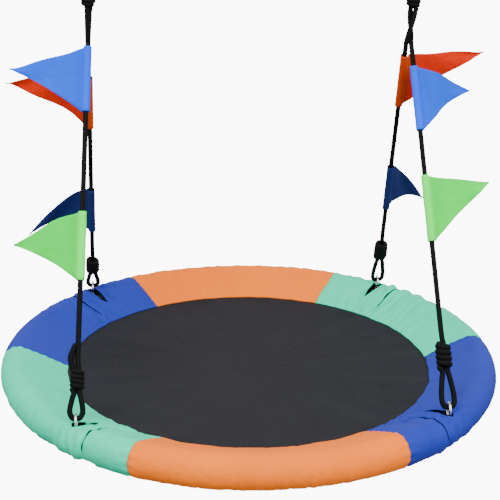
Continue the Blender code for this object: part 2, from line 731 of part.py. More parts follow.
def suspension(side_name, x_side):
    """The steel ring, ropes, knots and pennants of one side; it returns the empty on the sway axis."""
    fore_aft = axis_empty("fore_aft_axis_" + side_name, (x_side * TOP_X, 0, hook_bar_z()))
    sway_z = top_ring_centre() - TOP_RING_RADIUS
    sway = axis_empty("sway_axis_" + side_name, (x_side * TOP_X, 0, sway_z), fore_aft)
    for obj in made_by(top_ring, side_name, x_side):
        hang(obj, fore_aft)
    pieces = made_by(top_knot, side_name, x_side)
    for corner in CORNERS:
        if corner.endswith(side_name):
            pieces += made_by(rope, corner) + made_by(noose, corner)
    for obj in pieces:
        hang(obj, sway)
    for name in PENNANTS:
        if PENNANTS[name][0].endswith(side_name):
            pennant(name, sway)
    return sway


def main():
    clear_scene()
    sways = {}
    for side_name, x_side in (("left", -1), ("right", 1)):
        snap_hook(side_name, x_side)
        sways[side_name] = suspension(side_name, x_side)
    pivot = eye_place(-1, 0) + Vector((0, 0, EYE_Z + EYE_RADIUS - EYE_WIRE))
    level = axis_empty("level_axis", pivot, sways["left"])
    for obj in made_by(saucer):
        hang(obj, level)


main()
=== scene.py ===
import math

import bmesh
import bpy
from mathutils import Matrix, Vector, noise


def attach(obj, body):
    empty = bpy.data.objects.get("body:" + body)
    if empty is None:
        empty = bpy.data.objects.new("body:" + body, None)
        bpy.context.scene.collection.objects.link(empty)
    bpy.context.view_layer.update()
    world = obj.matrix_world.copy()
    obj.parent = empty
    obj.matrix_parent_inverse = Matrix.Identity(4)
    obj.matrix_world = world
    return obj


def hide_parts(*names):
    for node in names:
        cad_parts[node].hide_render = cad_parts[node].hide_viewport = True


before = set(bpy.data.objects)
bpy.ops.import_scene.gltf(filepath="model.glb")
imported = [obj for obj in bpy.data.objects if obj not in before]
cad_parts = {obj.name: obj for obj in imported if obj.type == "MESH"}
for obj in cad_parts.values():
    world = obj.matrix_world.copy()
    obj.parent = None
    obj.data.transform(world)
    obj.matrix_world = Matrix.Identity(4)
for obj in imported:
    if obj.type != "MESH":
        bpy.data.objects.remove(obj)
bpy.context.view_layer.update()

# Metres and degrees: +Z up, -Y to the front, the hang points at z = 0.
RING_RADIUS = 0.469
SAUCER_Z = -0.847
PAD_RADIUS = 0.0308
SEAM_RADIUS = 0.369
SEAM_Z = -0.013
ARC = 0.0082  # along the ring for each degree
ROPE_RADIUS = 0.0045
FULLNESS = 1.07  # how far a braid stands out from its nominal radius
TOP_X = 0.303
MERGE_X = {"right": 0.298, "left": 0.306}
MERGE_Z = -0.207
PAIR_OFFSET = 0.0048
PAIR_START = {"right": 0.0, "left": -90.0}
TWIST = {"right": 180.0, "left": -30.0}
KNOT_BOTTOM = -0.141
KNOT_LENGTH = 0.030
TOP_RING_Z = -0.0804
TOP_RING_RADIUS = 0.020
POLE = 0.125
PENNANT = 0.180
EYE_Z = 0.034
EYE_RADIUS = 0.0115
EYE_WIRE = 0.0025
NOOSE_FOOT = 0.0375  # the lowest point of a noose over the ring's middle plane
KNOT_TURNS = 3
KNOT_RADIUS = 0.0098  # of the top knot's turns
OVER_RING = 0.0095  # half the width of the bight that goes over a top ring
RING_WIRE = 0.0030
HOOK_BEND = 0.017
HOOK_WIRE = 0.0040
HOOK_LOW = -0.051
HOOK_HIGH = -0.013
GATE_PIN_Z = -0.0448
SLEEVE_RADIUS = 0.0066
SLEEVE_TURN = 336  # degrees of the rope that a pennant's sleeve goes round
CORNERS = ("front_right", "front_left", "back_right", "back_left")


# ---- Small helpers ----
def sides_of(corner):
    return (1 if "right" in corner else -1), (1 if "back" in corner else -1)


def smooth(t):
    t = min(max(t, 0.0), 1.0)
    return t * t * (3 - 2 * t)


def bell(distance, width):
    return math.exp(-((distance / width) ** 2))


def curve_points(route, spacing):
    """Points a spacing apart on a Catmull-Rom curve through (place, radius) pairs."""
    places = [Vector((*p, r)) for p, r in route]
    ends = [2 * places[0] - places[1], *places, 2 * places[-1] - places[-2]]
    fine = []
    for i in range(len(places) - 1):
        a, b, c, d = ends[i : i + 4]
        for step in range(16):
            t = step / 16
            fine.append(0.5 * (2 * b + (c - a) * t + (2 * a - 5 * b + 4 * c - d) * t * t
                               + (3 * b - a - 3 * c + d) * t**3))
    fine.append(places[-1])
    lengths = [0.0]
    for p, q in zip(fine, fine[1:]):
        lengths.append(lengths[-1] + (q - p).xyz.length)
    count = max(2, round(lengths[-1] / spacing))
    out, j = [], 0
    for k in range(count + 1):
        wanted = lengths[-1] * k / count
        while j < len(fine) - 2 and lengths[j + 1] < wanted:
            j += 1
        gap = max(lengths[j + 1] - lengths[j], 1e-9)
        out.append(fine[j].lerp(fine[j + 1], min(max((wanted - lengths[j]) / gap, 0), 1)))
    return [p.xyz for p in out], [p.w for p in out]


def sweep(bm, points, radii, sides, closed=False):
    """A round bar along the points, its UVs in metres along and round it."""
    layer = bm.loops.layers.uv.verify()
    count = len(points)
    tangents = []
    for i in range(count):
        a = points[(i - 1) % count] if closed else points[max(i - 1, 0)]
        b = points[(i + 1) % count] if closed else points[min(i + 1, count - 1)]
        tangents.append((b - a).normalized())
    side = tangents[0].orthogonal().normalized()
    rings, along = [], [0.0]
    for i in range(count):
        side = (side - tangents[i] * side.dot(tangents[i])).normalized()
        other = tangents[i].cross(side)
        rings.append([bm.verts.new(points[i] + radii[i] * (side * math.cos(math.tau * k / sides)
                                                         + other * math.sin(math.tau * k / sides)))
                      for k in range(sides)])
        if i:
            along.append(along[-1] + (points[i] - points[i - 1]).length)
    for i in range(count if closed else count - 1):
        j = (i + 1) % count
        shift = 0
        if closed and j == 0:
            shift = min(range(sides), key=lambda s: (rings[i][0].co - rings[0][s].co).length)
        for k in range(sides):
            n = (k + 1) % sides
            face = bm.faces.new((rings[i][k], rings[i][n], rings[j][(n + shift) % sides],
                                 rings[j][(k + shift) % sides]))
            face.smooth = True
            end = along[j] if j else along[i] + (points[0] - points[i]).length
            around = 2 * math.pi * radii[i] / sides
            uvs = ((along[i], k * around), (along[i], (k + 1) * around),
                   (end, (k + 1) * around), (end, k * around))
            for loop, uv in zip(face.loops, uvs):
                loop[layer].uv = uv
    if not closed:
        for ring, turn in ((rings[0], -1), (rings[-1], 1)):
            middle = sum((v.co for v in ring), Vector()) / sides
            tip = bm.verts.new(middle + tangents[0 if turn < 0 else -1] * turn * radii[0] * 0.5)
            for k in range(sides):
                pair = (ring[k], ring[(k + 1) % sides], tip)
                bm.faces.new(pair if turn > 0 else pair[::-1]).smooth = True


def lathe(bm, profile, foot, up, sides):
    """A turned piece: (radius, height) pairs along up from foot."""
    side = up.orthogonal().normalized()
    other = up.cross(side)
    rings = [[bm.verts.new(foot + up * h + max(r, 1e-5) * (side * math.cos(math.tau * k / sides)
                                                          + other * math.sin(math.tau * k / sides)))
              for k in range(sides)] for r, h in profile]
    for low, high in zip(rings, rings[1:]):
        for k in range(sides):
            n = (k + 1) % sides
            bm.faces.new((low[k], low[n], high[n], high[k]))
    bm.faces.new(rings[0][::-1])
    bm.faces.new(rings[-1])


def made(name, bm, finish, body, *nodes, angle=None):
    """The finished object: it rides on its body and stands for its CAD nodes."""
    mesh = bpy.data.meshes.new(name)
    bmesh.ops.recalc_face_normals(bm, faces=bm.faces)
    bm.to_mesh(mesh)
    bm.free()
    obj = bpy.data.objects.new(name, mesh)
    bpy.context.scene.collection.objects.link(obj)
    for m in finish if isinstance(finish, (list, tuple)) else (finish,):
        mesh.materials.append(m)
    if angle:
        mesh.shade_smooth()
        mesh.set_sharp_from_angle(angle=math.radians(angle))
    if body:
        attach(obj, body)
    if nodes:
        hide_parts(*nodes)
    return obj


# ---- Materials ----
class Nodes:
    """A material's node tree, built link by link."""

    def __init__(self, name):
        self.material = bpy.data.materials.new(name)
        self.material.use_nodes = True
        self.tree = self.material.node_tree
        self.shader = self.tree.nodes["Principled BSDF"]

    def add(self, kind, **values):
        node = self.tree.nodes.new(kind)
        for key, value in values.items():
            if key in node.inputs:
                node.inputs[key].default_value = value
            else:
                setattr(node, key, value)
        return node

    def link(self, a, output, b, into):
        self.tree.links.new(a.outputs[output], b.inputs[into])

    def set(self, **values):
        for key, value in values.items():
            self.shader.inputs[key.replace("_", " ")].default_value = value


def mottled(n, colour, scale, spread, source=None, output=None):
    """The colour, lighter and darker in soft patches."""
    cloud = n.add("ShaderNodeTexNoise", Scale=scale, Detail=4.0, Roughness=0.55)
    if source:
        n.link(source, output, cloud, "Vector")
    ramp = n.add("ShaderNodeValToRGB")
    dark = [c * (1 - spread) for c in colour]
    light = [min(c * (1 + spread), 1.0) for c in colour]
    ramp.color_ramp.elements[0].position = 0.3
    ramp.color_ramp.elements[0].color = (*dark, 1)
    ramp.color_ramp.elements[1].position = 0.7
    ramp.color_ramp.elements[1].color = (*light, 1)
    n.link(cloud, "Fac", ramp, "Fac")
    return ramp


def cloth(name, colour, rough=0.7, weave=900.0, crumple=0.55, through=0.0):
    """Woven cloth: a fine weave from the UVs and a little crumpling, in metres."""
    n = Nodes(name)
    uv = n.add("ShaderNodeUVMap", uv_map="UVMap")
    place = n.add("ShaderNodeTexCoord")
    ramp = mottled(n, colour, 9.0, 0.07, place, "Object")
    n.link(ramp, "Color", n.shader, "Base Color")
    warp = n.add("ShaderNodeTexWave", Scale=weave / math.tau, Distortion=0.0)
    weft = n.add("ShaderNodeTexWave", Scale=weave / math.tau, Distortion=0.0, bands_direction="Y")
    for wave in (warp, weft):
        n.link(uv, "UV", wave, "Vector")
    both = n.add("ShaderNodeMath", operation="MULTIPLY")
    n.link(warp, "Fac", both, 0)
    n.link(weft, "Fac", both, 1)
    fine = n.add("ShaderNodeBump", Strength=0.25, Distance=0.0003)
    n.link(both, "Value", fine, "Height")
    folds = n.add("ShaderNodeTexNoise", Scale=55.0, Detail=5.0, Roughness=0.6)
    n.link(place, "Object", folds, "Vector")
    broad = n.add("ShaderNodeBump", Strength=crumple, Distance=0.004)
    n.link(folds, "Fac", broad, "Height")
    n.link(fine, "Normal", broad, "Normal")
    n.link(broad, "Normal", n.shader, "Normal")
    n.set(Roughness=rough, Specular_IOR_Level=0.15)
    if through:
        glow = n.add("ShaderNodeBsdfTranslucent")
        n.link(ramp, "Color", glow, "Color")
        mix = n.add("ShaderNodeMixShader", Fac=through)
        out = n.tree.nodes["Material Output"]
        n.link(n.shader, "BSDF", mix, 1)
        n.link(glow, "BSDF", mix, 2)
        n.link(mix, "Shader", out, "Surface")
    return n.material


def braid(name, colour):
    """Braided cord: two crossing sets of strands, from UVs in metres."""
    n = Nodes(name)
    uv = n.add("ShaderNodeUVMap", uv_map="UVMap")
    heights = []
    for turn in (42, -42):
        lean = n.add("ShaderNodeMapping")
        lean.inputs["Rotation"].default_value = (0, 0, math.radians(turn))
        n.link(uv, "UV", lean, "Vector")
        wave = n.add("ShaderNodeTexWave", Scale=95.0, Distortion=0.3)
        n.link(lean, "Vector", wave, "Vector")
        heights.append(wave)
    top = n.add("ShaderNodeMath", operation="MAXIMUM")
    n.link(heights[0], "Fac", top, 0)
    n.link(heights[1], "Fac", top, 1)
    bump = n.add("ShaderNodeBump", Strength=0.8, Distance=0.0012)
    n.link(top, "Value", bump, "Height")
    n.link(bump, "Normal", n.shader, "Normal")
    ramp = mottled(n, colour, 160.0, 0.35, n.add("ShaderNodeTexCoord"), "Object")
    n.link(ramp, "Color", n.shader, "Base Color")
    n.set(Roughness=0.7, Specular_IOR_Level=0.12)
    return n.material


def metal(name, colour, rough):
    """Bare metal with faint stains and scuffs."""
    n = Nodes(name)
    place = n.add("ShaderNodeTexCoord")
    ramp = mottled(n, colour, 60.0, 0.08, place, "Object")
    n.link(ramp, "Color", n.shader, "Base Color")
    scuff = n.add("ShaderNodeTexNoise", Scale=220.0, Detail=3.0)
    n.link(place, "Object", scuff, "Vector")
    bump = n.add("ShaderNodeBump", Strength=0.12, Distance=0.0005)
    n.link(scuff, "Fac", bump, "Height")
    n.link(bump, "Normal", n.shader, "Normal")
    n.set(Metallic=1.0, Roughness=rough)
    return n.material


def foam(name, colour):
    """Closed cells, small and dull."""
    n = Nodes(name)
    cells = n.add("ShaderNodeTexVoronoi", Scale=700.0)
    n.link(n.add("ShaderNodeTexCoord"), "Object", cells, "Vector")
    bump = n.add("ShaderNodeBump", Strength=0.5, Distance=0.0005)
    n.link(cells, "Distance", bump, "Height")
    n.link(bump, "Normal", n.shader, "Normal")
    n.set(Base_Color=(*colour, 1), Roughness=0.95, Specular_IOR_Level=0.2)
    return n.material


MINT = cloth("mint cover", (0.000, 0.680, 0.390))
ORANGE = cloth("orange cover", (1.000, 0.185, 0.000))
ROYAL = cloth("royal cover", (0.017, 0.033, 0.340))
DECK = cloth("deck cloth", (0.0125, 0.0130, 0.0170), rough=0.8, weave=420.0, crumple=0.6)
CORD = braid("black cord", (0.0016, 0.0018, 0.0022))
STEEL = metal("polished steel", (0.72, 0.73, 0.75), 0.22)
TUBE = metal("plated tube", (0.48, 0.49, 0.50), 0.38)
FOAM = foam("foam", (0.012, 0.012, 0.014))
# Each pennant's colour, and its sleeve's: painted light and shade, the same cloth's colour made lighter
# (lime) or darker (the others) for the light on and through the sleeve
PENNANT_AND_SHADED_SLEEVE_COLOURS = {
    "azure": ((0.000, 0.120, 1.000), (0.000, 0.085, 0.900)),
    "lime": ((0.010, 1.000, 0.070), (0.060, 1.000, 0.080)),
    "orange": ((1.000, 0.036, 0.000), (0.700, 0.060, 0.000)),
    "navy": ((0.013, 0.024, 0.150), (0.012, 0.022, 0.130)),
}
FLAGS_CLOTH = {
    # The sleeve's material carries the painted light and shade copy of the pennant's colour.
    key: (cloth(key + " pennant", body, crumple=0.15, through=0.25),
          cloth(key + " sleeve", sleeve, crumple=0.2))
    for key, (body, sleeve) in PENNANT_AND_SHADED_SLEEVE_COLOURS.items()
}


# ---- Ropes: each one cord from its noose's tail to the top ring ----
# The loop's length, the knot's length, its turns, their radius and thickness, and the free tail's length
NOOSES = {
    "front_right": (0.066, 0.051, 4, 0.0084, 0.0066, 0.0),
    "front_left": (0.046, 0.042, 4, 0.0076, 0.0056, 0.036),
    "back_right": (0.076, 0.056, 5, 0.0092, 0.0062, 0.0),
    "back_left": (0.046, 0.046, 4, 0.0092, 0.0060, 0.0),
}


def eye_place(corner):
    x, y = sides_of(corner)
    half = RING_RADIUS * math.cos(math.pi / 4)
    return Vector((x * half, y * half, SAUCER_Z))


def pair_place(corner, share):
    """The rope's centre in its twisted pair, from where the ropes meet (0) to the top knot (1)."""
    x, y = sides_of(corner)
    side_name = corner.split("_")[1]
    low = Vector((x * MERGE_X[side_name], 0, MERGE_Z))
    high = Vector((x * TOP_X, 0, KNOT_BOTTOM))
    angle = math.radians(PAIR_START[side_name] + (0 if y < 0 else 180) + TWIST[side_name] * share)
    return low.lerp(high, share) + PAIR_OFFSET * Vector((math.cos(angle), math.sin(angle), 0))


def rope_line(corner):
    """(foot, unit vector up the rope, where it meets its pair, distance to there)."""
    foot = eye_place(corner) + Vector((0, 0, NOOSE_FOOT))
    meet = pair_place(corner, 0)
    return foot, (meet - foot).normalized(), meet, (meet - foot).length


def noose_route(corner):
    """From the tail's end down the turns, round the eye and up through the turns."""
    loop, knot, turns, pitch_radius, thick, tail = NOOSES[corner]
    foot, up, _meet, _length = rope_line(corner)
    side = (Vector((1, 0, 0)) - up * up.x).normalized()
    ahead = up.cross(side)

    def at(s, a, h):
        return foot + side * s + ahead * a + up * h

    thin = ROPE_RADIUS * FULLNESS
    route = []
    if tail:
        route += [(at(-0.0052, -0.004, loop + knot + tail + 0.006), thin * 0.8),
                  (at(-0.0098, -0.003, loop + knot + 0.78 * tail), thin * 1.1),
                  (at(-0.0120, -0.002, loop + knot + 0.45 * tail), thin * 1.2),
                  (at(-0.0098, -0.001, loop + knot + 0.004), thin * 1.05)]
    else:
        route.append((at(-0.0050, 0.002, loop + knot + 0.001), thin * 0.9))
    steps = 12
    inset = thick * 0.9
    for i in range(turns * steps + 1):
        share = i / (turns * steps)
        angle = math.pi + math.tau * turns * share
        h = loop + knot - inset - (knot - 2 * inset) * share
        wobble = 1 + 0.05 * math.sin(3.1 * i + len(corner))
        swell = thick * (0.9 + 0.1 * math.sin(math.pi * share))
        out = pitch_radius * wobble
        route.append((at(out * math.cos(angle), out * math.sin(angle), h), swell))
    # One side of the loop, from the knot down to the eye: (distance from its middle, height).
    half = [(0.0050, loop - 0.002), (0.0072, 0.80 * loop), (0.0108, 0.42 * loop), (0.0113, 0.22 * loop),
            (0.0106, 0.0085), (0.0070, 0.0022), (0.0, 0.0)]
    route += [(at(-s, 0, h), thin) for s, h in half]
    route += [(at(s, 0, h), thin) for s, h in reversed(half[:-1])]
    route += [(at(0.0032, 0, loop + 0.5 * knot), thin * 0.9), (at(0.0016, 0, loop + knot), thin)]
    return route


def upper_route(corner):
    """From the noose up to its pair, round its partner, and over the top ring into the knot."""
    x, y = sides_of(corner)
    foot, up, meet, length = rope_line(corner)
    loop, knot = NOOSES[corner][:2]
    start = loop + knot + 0.020
    thin = ROPE_RADIUS * FULLNESS
    route = [(foot + up * (start + (length - start) * share), thin)
             for share in (0, 0.2, 0.4, 0.6, 0.8, 0.96)]
    route.append((meet, thin))
    axis = Vector((x * TOP_X, 0, 0))
    route += [(pair_place(corner, i / 8), thin) for i in range(1, 9)]
    across = -PAIR_OFFSET if y < 0 else PAIR_OFFSET
    wire = TOP_RING_Z - TOP_RING_RADIUS
    knot_top = KNOT_BOTTOM + KNOT_LENGTH
    route += [(axis + Vector((-0.0040, across * 0.9, KNOT_BOTTOM + 0.016)), thin * 0.9),
              (axis + Vector((-0.0060, across, knot_top - 0.002)), thin)]
    for i in range(9):
        angle = math.pi * i / 8
        bight = Vector((-OVER_RING * math.cos(angle), across, wire + OVER_RING * math.sin(angle)))
        route.append((axis + bight, thin))
    route.append((axis + Vector((0.0060, across, knot_top - 0.002)), thin))
    if y > 0:
        route.append((axis + Vector((0.0036, across * 0.8, KNOT_BOTTOM + 0.010)), thin * 0.9))
        return route
    steps = 12
    for i in range(KNOT_TURNS * steps + 1):
        share = i / (KNOT_TURNS * steps)
        angle = math.tau * KNOT_TURNS * share - 0.5
        around = KNOT_RADIUS - 0.0010 * share
        height = knot_top - 0.005 - (KNOT_LENGTH - 0.010) * share
        turn = Vector((around * math.cos(angle), around * math.sin(angle), height))
        route.append((axis + turn, 0.0052 - 0.0005 * share))
    return route


def cord(corner):
    points, radii = curve_points(noose_route(corner) + upper_route(corner), 0.0022)
    bm = bmesh.new()
    sweep(bm, points, radii, 12)
    side_name = corner.split("_")[1]
    nodes = ["rope_" + corner, "noose_" + corner]
    if "front" in corner:
        nodes.append("top_knot_" + side_name)
    rope = made("cord_" + corner, bm, CORD, "ropes_" + side_name, *nodes)


for corner in CORNERS:
    cord(corner)


# ---- Covers over the padded ring ----
COLUMN = 1 / 3  # degrees between columns of the cover's mesh
# Where the slits lie round the ring, each on a column: one at each eye, and a closed one beside it
CUT_A = (45, 135, 225, 315)
CUT_B = (115 / 3, 142, 688 / 3, 933 / 3)
EYE_SLIT = 0.056  # inward from the crest
EYE_SLIT_ROUND = 0.014  # outward from it, where the slit ends round
EYE_SLIT_HALF = 0.0108
SIDE_SLIT_IN = 0.084
SIDE_SLIT_OUT = 0.066
SIDE_SLIT_HALF = 0.0023
SEAM_HALF = 0.0022  # half the thickness of the folded seam
SLACK = 0.0026  # between the cloth and the foam
# How far the cloth stands out in broad folds, fine folds, creases and puckers at the seams
FOLD = 0.0022
FINE_FOLD = 0.0009
CREASE = 0.0024
PUCKER = 0.0007
SEAM_DRAW = 0.0016
WELT = 0.0016
SPOKE = 0.0020
DIMPLE = 0.0024
COVERS = (
    ("green_back_right", 0, MINT), ("orange_back", 60, ORANGE), ("blue_back_left", 120, ROYAL),
    ("green_front_left", 180, MINT), ("orange_front", 240, ORANGE), ("blue_front_right", 300, ROYAL),
)


def cover_profile():
    """(radius, height, outward normal, turn about the tube) round the tear-drop section."""
    points = []
    for i in range(7):
        angle = math.radians(250 - 150 * i / 6)
        points.append((SEAM_RADIUS + 0.0014 + SEAM_HALF * math.cos(angle),
                       SEAM_Z + 0.0006 + SEAM_HALF * math.sin(angle)))

    def touch(tip_z):
        reach = math.hypot(RING_RADIUS - SEAM_RADIUS, tip_z)
        spread = math.pi / 2 - math.atan2(PAD_RADIUS, math.sqrt(reach**2 - PAD_RADIUS**2))
        return math.atan2(tip_z, SEAM_RADIUS - RING_RADIUS) % math.tau, spread

    top, spread_top = touch(SEAM_Z + SEAM_HALF)
    low, spread_low = touch(SEAM_Z - SEAM_HALF)
    start, end = top - spread_top, low + spread_low - math.tau
    first = (RING_RADIUS + PAD_RADIUS * math.cos(start), PAD_RADIUS * math.sin(start))
    last = (RING_RADIUS + PAD_RADIUS * math.cos(end), PAD_RADIUS * math.sin(end))
    a = points[-1]
    for i in range(1, 24):
        t = i / 24
        bulge = 0.0016 * math.sin(math.pi * t)
        points.append((a[0] + (first[0] - a[0]) * t, a[1] + (first[1] - a[1]) * t + bulge))
    for i in range(49):
        angle = start + (end - start) * i / 48
        points.append((RING_RADIUS + PAD_RADIUS * math.cos(angle), PAD_RADIUS * math.sin(angle)))
    tip = (SEAM_RADIUS + 0.003, SEAM_Z - SEAM_HALF)
    for i in range(1, 16):
        t = i / 15
        points.append((last[0] + (tip[0] - last[0]) * t, last[1] + (tip[1] - last[1]) * t))
    rows, walked = [], 0.0
    for i, (r, z) in enumerate(points):
        before, after = points[max(i - 1, 0)], points[min(i + 1, len(points) - 1)]
        run = Vector((after[0] - before[0], after[1] - before[1])).normalized()
        if i:
            walked += math.dist(points[i - 1], (r, z))
        rows.append((r, z, -run.y, run.x, walked, math.degrees(math.atan2(z, r - RING_RADIUS))))
    return rows


PROFILE = cover_profile()
CREST = min(PROFILE, key=lambda row: abs(row[5] - 90))[4]
TOTAL = PROFILE[-1][4]


def opening(cut, walked):
    """Half the width of a slit at this distance along the section."""
    inward = CREST - walked
    if cut in CUT_A:
        if -EYE_SLIT_ROUND < inward <= 0:
            return EYE_SLIT_HALF * math.sqrt(1 - (inward / EYE_SLIT_ROUND) ** 2)
        if 0 < inward < EYE_SLIT:
            return EYE_SLIT_HALF * (1 - inward / EYE_SLIT) ** 0.6
        return 0.0
    if -SIDE_SLIT_OUT < inward < SIDE_SLIT_IN:
        t = (inward + SIDE_SLIT_OUT) / (SIDE_SLIT_IN + SIDE_SLIT_OUT)
        uneven = 0.7 + 0.4 * math.sin(walked * 90 + cut) ** 2
        return SIDE_SLIT_HALF * math.sin(math.pi * t) ** 0.5 * uneven
    return 0.0


def wander(cut, walked):
    """How far a slit strays sideways at this distance along the section."""
    if cut in CUT_A:
        return 0.0
    return 0.0016 * math.sin((CREST - walked) * 60) + 0.0007 * math.sin(walked * 170 + cut)


def edge_curve(boundary, walked):
    """How far a seam between two covers strays from its radius, in degrees."""
    share = walked / TOTAL
    sway = (1.3, -0.9, 1.1, -1.2, 0.9, -1.1)[boundary % 6]
    return sway * math.sin(math.pi * share) + 0.25 * noise.noise(Vector((share * 7, boundary * 3.7, 0)))


def swell(degrees, row, to_edge):
    """How far the cloth stands out from the plain section here, in metres."""
    _r, _z, _nr, _nz, walked, turn = row
    along = math.radians(degrees) * RING_RADIUS
    inward = CREST - walked
    tight = smooth(walked / 0.012) * smooth((TOTAL - walked) / 0.010)
    strength = 0.55 + 0.9 * noise.noise(Vector((along * 5, 0.4, 2.0)))
    for cut in (*CUT_A, *CUT_B):
        strength += 1.2 * bell((degrees - cut) * ARC, 0.045)
    strength = max(strength, 0.15)
    bend = 0.010 * noise.noise(Vector((along * 9, walked * 12, 5.0)))
    folds = noise.noise(Vector(((along + bend) / 0.019, walked / 0.070, 1.0)))
    fine = noise.noise(Vector(((along + bend) / 0.008, walked / 0.028, 8.0)))
    lines = noise.noise(Vector(((along + bend) / 0.034, walked / 0.120, 4.0)))
    crease = (1 - min(abs(lines) * 4, 1)) ** 2
    out = tight * strength * (FOLD * folds + FINE_FOLD * fine - CREASE * crease)
    # The seams between covers draw the cloth in and pucker it.
    out -= tight * SEAM_DRAW * bell(to_edge, 0.0030)
    stitches = math.sin(walked / 0.0027 + 3 * noise.noise(Vector((along * 30, 0, 0))))
    out += tight * PUCKER * stitches * bell(to_edge, 0.016)
    # A welt runs the length of each cover, low on its outer side.
    out += WELT * bell(turn + 52, 5) - 0.0014 * bell(turn + 61, 4)
    for cut in CUT_A:
        away = math.hypot((degrees - cut) * ARC, inward)
        if away < 0.09:
            spokes = math.sin(9 * math.atan2((degrees - cut) * ARC, inward + 0.002) + cut)
            out += tight * (SPOKE * spokes * bell(away - 0.026, 0.020) - DIMPLE * bell(away, 0.030))
    for cut in CUT_B:
        off = (degrees - cut) * ARC
        if abs(off) < 0.03:
            over = smooth((walked - CREST + 0.082) / 0.01) * smooth((CREST + 0.075 - walked) / 0.02)
            out -= over * 0.0010 * bell(off, 0.0030)
            out += over * WELT * bell(off - 0.008, 0.006)
    over_foam = inward < 0.03 and -150 <= turn <= 160
    return max(out, -SLACK) if over_foam else out


def cover(name, start, finish):
    """A cover over 60 degrees of the ring: a grid of columns round it and rows round its section."""
    index = start // 60
    cuts = [c for c in (*CUT_A, *CUT_B) if start < c < start + 60]
    columns = []
    for i in range(int(60 / COLUMN) + 1):
        degrees = start + i * COLUMN
        cut = next((c for c in cuts if abs(c - degrees) < 1e-6), None)
        columns += [(degrees, cut, 0)] if cut is None else [(degrees, cut, -1), (degrees, cut, 1)]
    bm = bmesh.new()
    layer = bm.loops.layers.uv.verify()
    grid = []
    for degrees, cut, lip in columns:
        share = (degrees - start) / 60
        line = []
        for row in PROFILE:
            r, z, nr, nz, walked, _turn = row
            shifted = (degrees + edge_curve(index, walked) * (1 - smooth(share * 2))
                       + edge_curve(index + 1, walked) * smooth(share * 2 - 1))
            push = 0.0
            for c in cuts:
                arc = (degrees - c) * ARC
                way = lip if cut == c else math.copysign(1, arc)
                push += (way * opening(c, walked) + wander(c, walked)) * math.exp(-abs(arc) / 0.020)
            to_edge = min(share, 1 - share) * 60 * ARC
            out = swell(degrees, row, to_edge)
            wave = 0.0034 * noise.noise(Vector((degrees * 0.16, 3.0, 0))) * (1 - smooth(walked / 0.03))
            radius = r + nr * out + wave
            angle = math.radians(shifted) + push / radius
            line.append(bm.verts.new((radius * math.cos(angle), radius * math.sin(angle),
                                      SAUCER_Z + z + nz * out)))
        grid.append(line)
    for i in range(len(grid) - 1):
        if columns[i][2] == -1:  # the two lips of a slit, which weld below where the slit is closed
            continue
        for j in range(len(PROFILE) - 1):
            face = bm.faces.new((grid[i][j], grid[i + 1][j], grid[i + 1][j + 1], grid[i][j + 1]))
            face.smooth = True
            for loop, (a, b) in zip(face.loops, ((i, j), (i + 1, j), (i + 1, j + 1), (i, j + 1))):
                loop[layer].uv = (columns[a][0] * ARC, PROFILE[b][4])
    bmesh.ops.remove_doubles(bm, verts=bm.verts, dist=1e-5)
    obj = made("cloth_" + name, bm, finish, "saucer", "cover_" + name)
    skin = obj.modifiers.new("cloth", "SOLIDIFY")
    skin.thickness = 0.0015
    skin.offset = -1


for name, start, finish in COVERS:
    cover(name, start, finish)


# ---- Deck ----
DECK_RADIUS = 0.3750
DECK_DROP = 0.0014  # the deck's rim below the seam
DECK_SAG = 0.010
SPOKES, HOOPS = 240, 60


def deck_height(angle, share):
    """The deck's height over the saucer's middle plane: sagging, creased towards its rim."""
    creases = 0.0011 * math.sin(12 * angle + 1.0) + 0.0009 * math.sin(19 * angle + 2.0)
    creases += 0.0007 * math.sin(31 * angle)
    rim = share**3 * smooth((0.984 - share) / 0.06)
    waves = noise.noise(Vector((math.cos(angle) * share * 4, math.sin(angle) * share * 4, 0)))
    height = SEAM_Z - DECK_DROP - DECK_SAG * (1 - share**2) + 1.6 * creases * rim
    return height + 0.0016 * waves * (1 - share)


def deck():
    bm = bmesh.new()
    layer = bm.loops.layers.uv.verify()
    rings = []
    for i in range(HOOPS + 1):
        share = (i + 0.4) / (HOOPS + 0.4)
        ring = []
        for k in range(SPOKES):
            angle = math.tau * k / SPOKES
            r = DECK_RADIUS * share
            place = (r * math.cos(angle), r * math.sin(angle), SAUCER_Z + deck_height(angle, share))
            ring.append(bm.verts.new(place))
        rings.append(ring)
    for low, high in zip(rings, rings[1:]):
        for k in range(SPOKES):
            n = (k + 1) % SPOKES
            bm.faces.new((low[k], high[k], high[n], low[n])).smooth = True
    bm.faces.new(rings[0]).smooth = True
    for face in bm.faces:
        for loop in face.loops:
            loop[layer].uv = loop.vert.co.xy
    obj = made("cloth_deck", bm, DECK, "saucer", "deck_fabric")
    skin = obj.modifiers.new("cloth", "SOLIDIFY")
    skin.thickness = 0.0014
    skin.offset = 0


deck()


# ---- Pennants ----
# corner, distance up the rope, outward swing, tilt, then how the cloth bends towards its tip, how it
# sags, and how far its upper and its lower edge bow outward
PENNANTS = {
    "azure_front_left": ("front_left", 0.6178, -33, 14, -18, 0.002, 0.003, -0.008),
    "lime_front_left": ("front_left", 0.3065, -45, 6, -16, 0.000, 0.011, -0.006),
    "orange_back_left": ("back_left", 0.5419, 26, -4, 16, -0.010, -0.001, 0.004),
    "navy_back_left": ("back_left", 0.2456, 18, -37, 30, -0.018, -0.002, -0.008),
    "azure_front_right": ("front_right", 0.5787, -37, 14, 8, -0.002, 0.004, -0.009),
    "lime_front_right": ("front_right", 0.3665, -31, 20, -10, 0.002, 0.003, -0.001),
    "orange_back_right": ("back_right", 0.5974, 19, 7, 12, 0.004, -0.002, 0.002),
    "navy_back_right": ("back_right", 0.3035, 43, -42, 20, -0.006, 0.007, -0.006),
}


